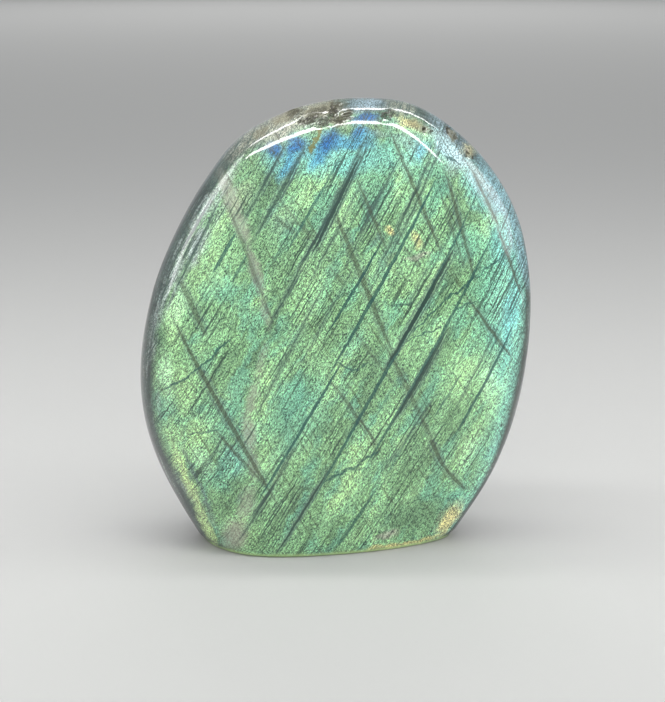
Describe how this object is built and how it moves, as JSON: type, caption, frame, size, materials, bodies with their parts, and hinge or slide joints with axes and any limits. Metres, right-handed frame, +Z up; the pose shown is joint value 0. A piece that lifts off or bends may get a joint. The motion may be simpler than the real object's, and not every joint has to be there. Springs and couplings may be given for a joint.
{
  "type": "polished labradorite freeform",
  "caption": "Standing polished labradorite stone: an egg-shaped slab with domed faces and softly bevelled rim, cut off flat below so that it stands upright.",
  "frame": {"origin": "middle of the stone's footprint box, on the flat sawn base", "axes": "+Z up from the base to the crown, the domed front face looks towards -Y, +X to the right seen from the front"},
  "size_m": [0.131, 0.051, 0.149],
  "materials": {
    "polished_labradorite": "polished to a gloss, with a green to blue flash on the front face; the base is left sawn and matte"
  },
  "bodies": {
    "root": {"labradorite_stone": "polished_labradorite"}
  },
  "joints": []
}
